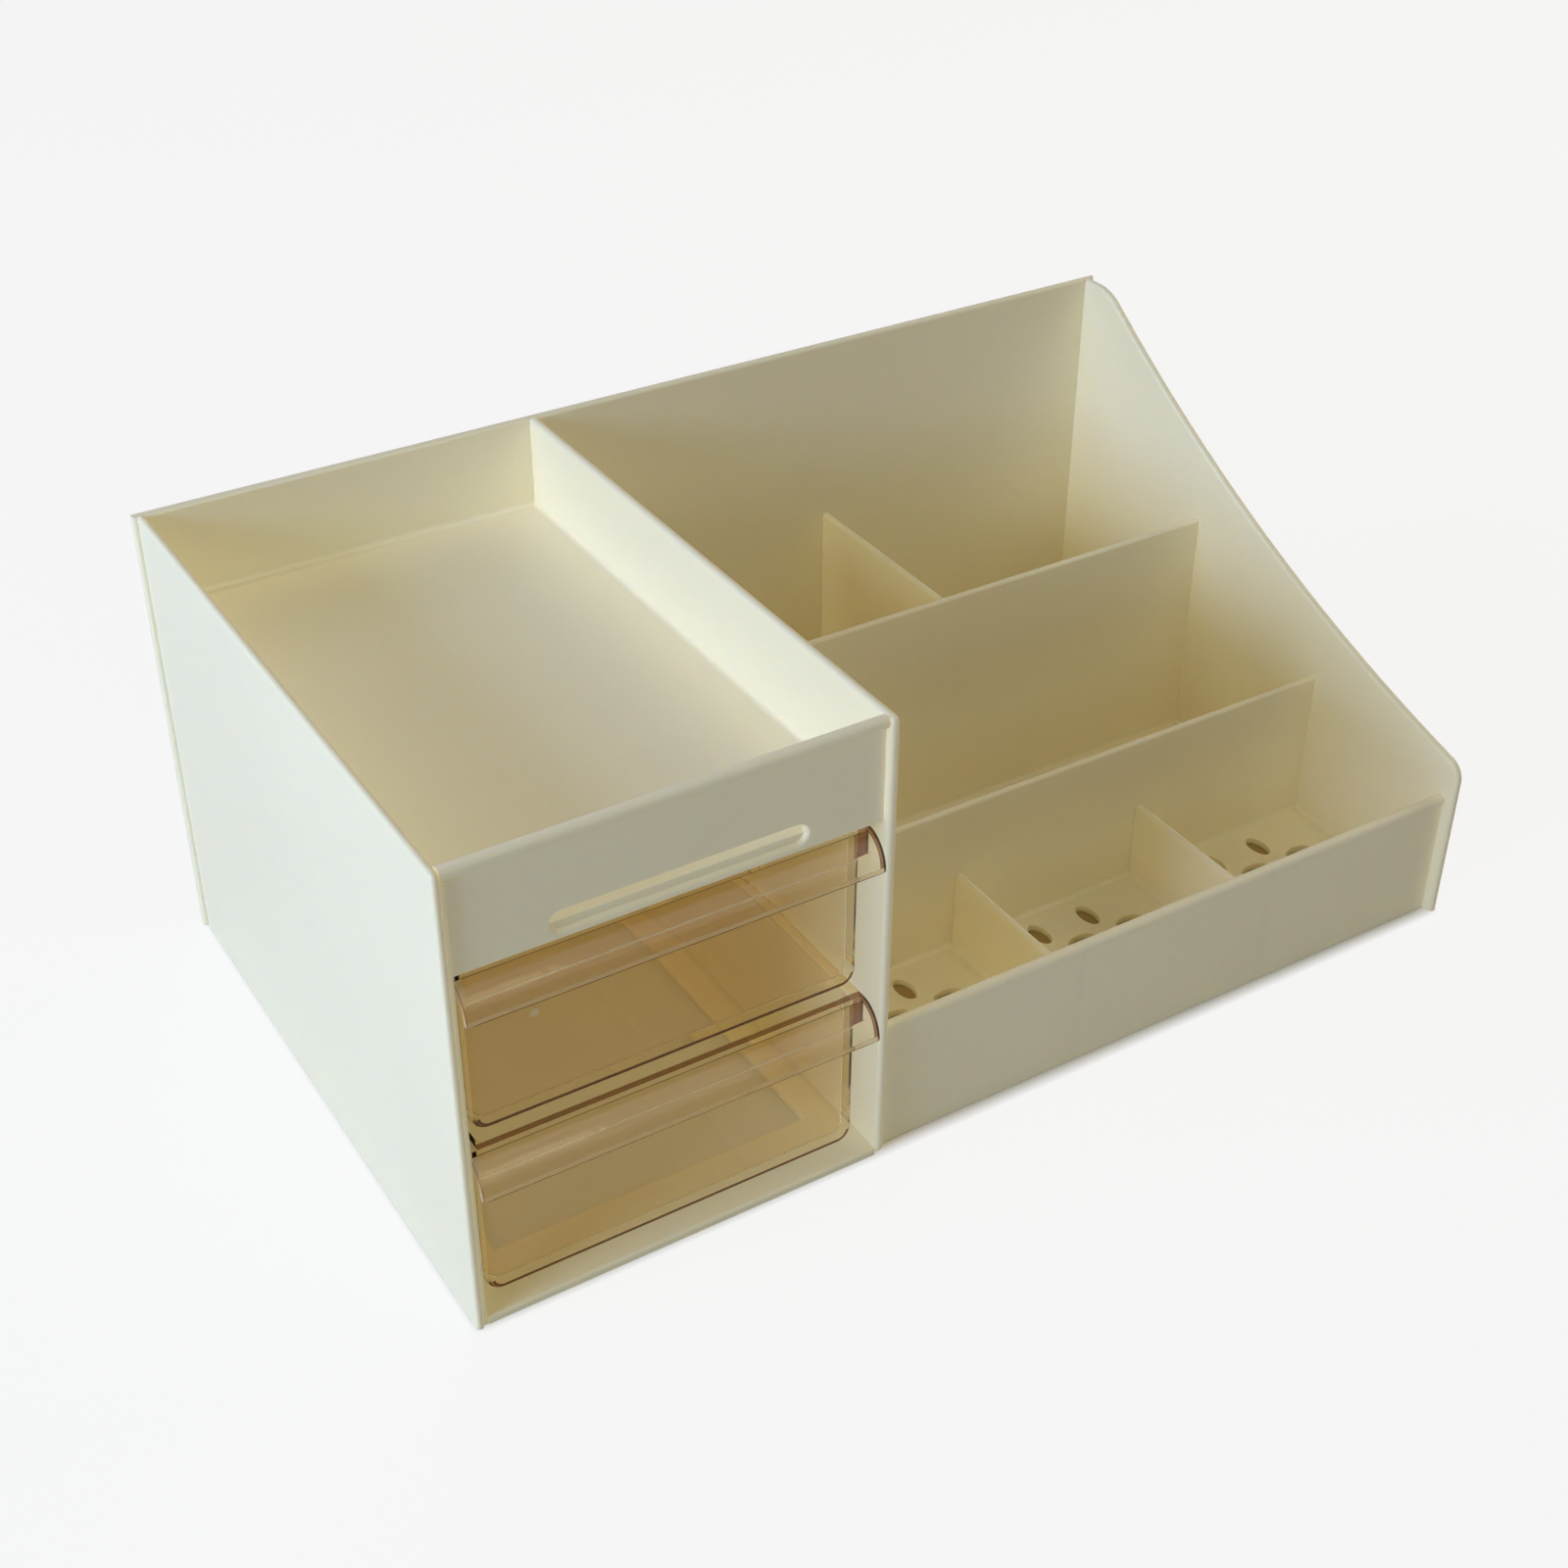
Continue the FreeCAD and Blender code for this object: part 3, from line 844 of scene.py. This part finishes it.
class ORGANIZER_OT_open_bay(bpy.types.Operator):
    """Builds the low front, both floors and the five dividers of the open bay"""
    bl_idname = "organizer.open_bay"
    bl_label = "Open bay"

    def execute(self, context):
        settings = context.scene.organizer_case
        self.build_front(settings)
        rooms = self.front_rooms()
        self.build_front_floor(settings, rooms)
        self.build_rear_floor(settings)
        for node, name, across in (
            ("front_divider", "front_row_wall", "y"),
            ("rear_divider", "back_row_wall", "y"),
            ("front_row_left_divider", "front_row_left_fin", "x"),
            ("front_row_right_divider", "front_row_right_fin", "x"),
            ("back_row_divider", "back_row_fin", "x"),
        ):
            self.build_divider(settings, node, name, across)
        return {"FINISHED"}

    def front_rooms(self):
        """The boxes of the front row's compartments, as pairs of corners."""
        low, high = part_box("front_floor")
        left_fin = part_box("front_row_left_divider")
        right_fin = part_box("front_row_right_divider")
        edges = [(low.x, left_fin[0].x), (left_fin[1].x, right_fin[0].x), (right_fin[1].x, high.x)]
        return [(Vector((a, low.y, high.z)), Vector((b, high.y, high.z))) for a, b in edges]

    def build_front(self, settings):
        """The low front with its bar and its sink marks, dented and with painted shade."""
        low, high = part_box("front_panel")
        overlap = settings.front_bead_overlap
        wall = (low.y + overlap, high.y - overlap)
        outline = beaded_outline(wall, (low.y, high.y), low.z, high.z, settings)
        marks = []
        for node in ("front_row_left_divider", "front_row_right_divider"):
            fin_low, fin_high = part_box(node)
            marks.append((fin_low.x + fin_high.x) / 2)
        material = cream_plastic(settings, marks)
        case_piece("low_front", extruded(outline, low.x, high.x), "front_panel", material)

    def build_front_floor(self, settings, rooms):
        """The front row's floor with its oval holes."""
        low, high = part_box("front_floor")
        holed = []
        for room_low, room_high in rooms:
            holed.append((room_low, room_high, petal_holes((room_low + room_high) / 2, low.z, settings)))
        low = low - Vector((settings.tuck, settings.tuck, 0))
        high = high + Vector((settings.tuck, settings.tuck, 0))
        case_piece("petal_floor", coved_floor(low, high, holed, settings.cove), "front_floor")

    def build_rear_floor(self, settings):
        """The floor behind the front row, in three compartments."""
        low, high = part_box("rear_floor")
        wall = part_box("rear_divider")
        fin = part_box("back_row_divider")
        rooms = []
        for left, right, near, far in (
            (low.x, high.x, low.y, wall[0].y),
            (low.x, fin[0].x, wall[1].y, high.y),
            (fin[1].x, high.x, wall[1].y, high.y),
        ):
            rooms.append((Vector((left, near, high.z)), Vector((right, far, high.z)), []))
        low = low - Vector((settings.tuck, settings.tuck, 0))
        high = high + Vector((settings.tuck, settings.tuck, 0))
        case_piece("plain_floor", coved_floor(low, high, rooms, settings.cove), "rear_floor")

    def build_divider(self, settings, node, name, across):
        """An upright wall with a rounded top; across is the axis of its thickness."""
        low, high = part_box(node)
        bm = block(low, high)
        tops = []
        for side in (getattr(low, across), getattr(high, across)):
            tops += edges_on(bm, z=high.z, **{across: side})
        thickness = getattr(high, across) - getattr(low, across)
        round_off(bm, tops, thickness * settings.rim_share)
        case_piece(name, bm, node)


class ORGANIZER_OT_drawers(bpy.types.Operator):
    """Builds both clear amber drawers, the pale line painted on as a reflection across each front, and
    the moulding mark
    """
    bl_idname = "organizer.drawers"
    bl_label = "Drawers"

    def execute(self, context):
        settings = context.scene.organizer_drawers
        amber = amber_plastic(settings)
        frosted_and_highlight = frosted_amber(settings)
        for level in ("upper", "lower"):
            node = level + "_drawer"
            low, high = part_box(node)
            tub = piece(level + "_tub", self.build_shell(settings, node), node, amber)
            # Light is lost on its way through so many clear walls, so they neither bounce nor block it
            tub.visible_diffuse = False
            tub.visible_shadow = False
            self.mark_faces(tub.data, low, high, settings)
            self.build_lines(settings, level, low, high, frosted_and_highlight)
        return {"FINISHED"}

    def build_shell(self, settings, node):
        """A copy of the drawer's solid, cut where its marks end, with its sharp edges rounded."""
        bm = bmesh.new()
        bm.from_mesh(frame["nodes"][node].data)
        bmesh.ops.remove_doubles(bm, verts=bm.verts[:], dist=0.001 * MM)
        bmesh.ops.dissolve_limit(bm, angle_limit=math.radians(0.5), verts=bm.verts[:], edges=bm.edges[:])
        low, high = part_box(node)
        plate = low.y + settings.hood_reach
        for cut, axis in (
            ((0, plate + settings.front_wall, 0), (0, 1, 0)),
            ((high.x - settings.hood_rim, 0, 0), (1, 0, 0)),
            ((high.x - settings.ear_width, 0, 0), (1, 0, 0)),
            ((low.x + settings.hood_rim / 2, 0, 0), (1, 0, 0)),
            ((low.x + settings.left_ear_width, 0, 0), (1, 0, 0)),
            ((0, 0, high.z - settings.hood_drop), (0, 0, 1)),
        ):
            everything = bm.verts[:] + bm.edges[:] + bm.faces[:]
            bmesh.ops.bisect_plane(bm, geom=everything, dist=ON_PLANE, plane_co=cut, plane_no=axis)
        sharp = [edge for edge in bm.edges if edge.calc_face_angle(0) > math.radians(50)]
        bmesh.ops.bevel(
            bm, geom=sharp, offset=settings.edge_round, offset_type="OFFSET", segments=2, profile=0.5,
            affect="EDGES", material=-1, clamp_overlap=False,
        )
        front = []
        for face in bm.faces:
            if face.normal.y < -FLAT and abs(face.calc_center_median().y - plate) < ON_PLANE:
                front.append(face)
        bmesh.ops.inset_region(
            bm, faces=front, thickness=settings.foot_line, use_even_offset=True, use_boundary=True
        )
        return bm

    def mark_faces(self, mesh, low, high, settings):
        """Darkens the edges where one looks along the plastic, and paints pale highlights on the ends,
        the lip and the left side.
        """
        marks = [self.mark_of(face, low, high, settings) for face in mesh.polygons]
        for name, values in zip((RIM, PAINTED_HIGHLIGHT), zip(*marks)):
            mesh.attributes.new(name, "FLOAT", "FACE").data.foreach_set("value", values)

    def mark_of(self, face, low, high, settings):
        """The shares of rim tint and of painted highlight on one face; the last rule that fits counts.
        """
        normal, middle = face.normal, face.center
        plate = low.y + settings.hood_reach
        lip = high.z - settings.hood_drop
        hood = middle.y < plate - settings.plate_skin
        near_front = middle.y < plate + settings.front_wall
        front = near_front and not hood
        above_lip = middle.z > lip
        at_right = middle.x > high.x - settings.ear_width
        at_left = middle.x < low.x + settings.left_ear_width
        end_face = normal.x < -STEEP or (normal.x > STEEP and middle.z < lip)
        left_face = normal.x < -SLANTED and middle.x < low.x + settings.side_skin
        top_face = normal.z > STEEP and middle.z > high.z - settings.top_skin
        lip_face = normal.z < -SLANTED and middle.y < low.y + settings.lip_depth
        outer_face = normal.y < -SLANTED or normal.z > SLANTED
        strip = normal.y < -FLAT and face.area < settings.foot_longest * settings.foot_line
        rounding = normal.y < -0.15 and normal.z < -0.03
        near_plate = abs(middle.y - plate) < settings.front_wall
        low_down = near_plate and middle.z < low.z + settings.foot_height
        rules = (
            (True, PLAIN),
            (front and above_lip and at_right, RIGHT_EAR),
            (hood and middle.x > high.x - settings.hood_rim, HOOD_RIGHT_END),
            (hood and middle.x < low.x + settings.hood_rim / 2, HOOD_LEFT_END),
            (front and top_face, TOP_EDGE),
            (low_down and (strip or rounding), FOOT_CORNER if abs(normal.x) > 0.2 else FOOT),
            # Painted highlights on the end faces, the left side and the hood's lip, and painted light on
            # the left ear
            (near_front and end_face, FRONT_END_HIGHLIGHT),
            (left_face and not hood, LEFT_SIDE_HIGHLIGHT),
            (lip_face and abs(middle.z - lip) < settings.lip_half, HOOD_LIP_HIGHLIGHT),
            (at_left and above_lip and outer_face and not hood, LEFT_EAR_PAINTED_LIGHT),
        )
        return [mark for fits, mark in rules if fits][-1]

    def build_lines(self, settings, level, low, high, frosted_and_highlight):
        """The pale line across the front, a painted reflection of the hood's lip, and the upper front's
        moulding mark.
        """
        plate = low.y + settings.hood_reach
        height = high.z - settings.hood_drop
        half = settings.line_width / 2
        # A painted reflection: a pale bar on the front at the level of the hood's lip
        across = block(
            (low.x + settings.line_margin, plate - settings.line_proud, height - half),
            (high.x - settings.line_margin, plate + settings.line_sunk, height + half),
        )
        trim(level + "_witness_line", across, level + "_drawer", frosted_and_highlight)
        if level == "upper":
            gate = bmesh.new()
            across = low.x + settings.gate_across
            height = high.z - settings.gate_down
            place = Matrix.Translation((across, plate - settings.gate_proud, height))
            bmesh.ops.create_cone(
                gate, cap_ends=True, segments=24, depth=settings.gate_thickness,
                radius1=settings.gate_radius * 0.7, radius2=settings.gate_radius,
                matrix=place @ Matrix.Rotation(math.pi / 2, 4, "X"),
            )
            trim("upper_gate_mark", gate, "upper_drawer", frosted_and_highlight)


class ORGANIZER_OT_stage(bpy.types.Operator):
    """Sets up the floor, the lights, the white background and the camera"""
    bl_idname = "organizer.stage"
    bl_label = "Stage"

    def execute(self, context):
        settings = context.scene.organizer_stage
        self.build_floor(settings)
        self.build_sky(context, settings)
        self.build_lamps(context, settings)
        self.build_camera(context, settings)
        context.scene.view_settings.view_transform = "Standard"
        return {"FINISHED"}

    def build_floor(self, settings):
        """A wide flat floor just under the object."""
        bm = bmesh.new()
        drop = Matrix.Translation((0, 0, -settings.floor_drop))
        bmesh.ops.create_grid(bm, x_segments=1, y_segments=1, size=FLOOR_REACH, matrix=drop)
        mesh = bpy.data.meshes.new("studio_floor")
        bm.to_mesh(mesh)
        bm.free()
        mesh.materials.append(pale_floor(settings))
        floor = bpy.data.objects.new("studio_floor", mesh)
        bpy.context.scene.collection.objects.link(floor)

    def build_sky(self, context, settings):
        """Plain light all round, which the camera, gloss and clear plastic see as white."""
        recipe = Recipe(bpy.data.worlds.new("studio_sky"), "ShaderNodeOutputWorld")
        glossy, passing = recipe.ray("Is Glossy Ray"), recipe.ray("Is Transmission Ray")
        seen = recipe.ray("Is Camera Ray").larger(glossy.larger(passing))
        light = {"Color": (*settings.sky_colour, 1), "Strength": settings.sky}
        soft = recipe.node("ShaderNodeBackground", None, light)
        white = recipe.node("ShaderNodeBackground", None, {"Color": (1, 1, 1, 1), "Strength": 1.0})
        context.scene.world = recipe.finish(recipe.mix_shader(seen, soft, white))

    def build_lamps(self, context, settings):
        """Large soft lamps in a ring, all aimed at the object's middle."""
        for name, bearing, height, size, power, tint in SOFT_LIGHTS:
            data = bpy.data.lights.new(name, "AREA")
            data.shape = "RECTANGLE"
            data.size, data.size_y = size
            data.energy = power * settings.light
            data.color = tint
            lamp = bpy.data.objects.new(name, data)
            turn = Matrix.Rotation(math.radians(bearing), 4, "Z")
            lift = Matrix.Rotation(math.radians(90 - height), 4, "X")
            back = Matrix.Translation((0, 0, LIGHT_DISTANCE))
            lamp.matrix_world = Matrix.Translation((0, 0, LIGHT_AIM)) @ turn @ lift @ back
            context.scene.collection.objects.link(lamp)

    def build_camera(self, context, settings):
        """The camera at the photograph's place and angle."""
        data = bpy.data.cameras.new("photo_camera")
        data.lens = settings.lens
        data.sensor_width = 36.0
        data.clip_start = 0.01
        data.clip_end = 50.0
        camera = bpy.data.objects.new("photo_camera", data)
        turn = Matrix.Rotation(math.radians(-settings.azimuth), 4, "Z")
        tilt = Matrix.Rotation(math.radians(90 - settings.elevation), 4, "X")
        lean = Matrix.Rotation(math.radians(settings.roll), 4, "Z")
        place = Matrix.Translation((settings.camera_x, settings.camera_y, settings.camera_z))
        camera.matrix_world = place @ turn @ tilt @ lean
        context.scene.collection.objects.link(camera)
        context.scene.camera = camera


class ORGANIZER_PT_panel(bpy.types.Panel):
    """Lists the organizer's builders in the sidebar"""
    bl_idname = "ORGANIZER_PT_panel"
    bl_label = "Cosmetic organizer"
    bl_space_type = "VIEW_3D"
    bl_region_type = "UI"
    bl_category = "Organizer"

    def draw(self, context):
        for name in BUILD_ORDER:
            self.layout.operator("organizer." + name)
        scene = context.scene
        for group in (scene.organizer_case, scene.organizer_drawers, scene.organizer_stage):
            for key in group.__annotations__:
                self.layout.prop(group, key)


BUILD_ORDER = ("stage", "side_walls", "back_wall", "tray", "drawer_bay", "open_bay", "drawers")
CLASSES = (
    CaseSettings, DrawerSettings, StageSettings, ORGANIZER_OT_side_walls, ORGANIZER_OT_back_wall,
    ORGANIZER_OT_tray, ORGANIZER_OT_drawer_bay, ORGANIZER_OT_open_bay, ORGANIZER_OT_drawers,
    ORGANIZER_OT_stage, ORGANIZER_PT_panel,
)


def register():
    for made in CLASSES:
        bpy.utils.register_class(made)
    bpy.types.Scene.organizer_case = bpy.props.PointerProperty(type=CaseSettings)
    bpy.types.Scene.organizer_drawers = bpy.props.PointerProperty(type=DrawerSettings)
    bpy.types.Scene.organizer_stage = bpy.props.PointerProperty(type=StageSettings)


def unregister():
    del bpy.types.Scene.organizer_stage
    del bpy.types.Scene.organizer_drawers
    del bpy.types.Scene.organizer_case
    for made in reversed(CLASSES):
        bpy.utils.unregister_class(made)


def main():
    """Builds everything in order."""
    register()
    for name in BUILD_ORDER:
        getattr(bpy.ops.organizer, name)()


if __name__ == "__main__":
    main()
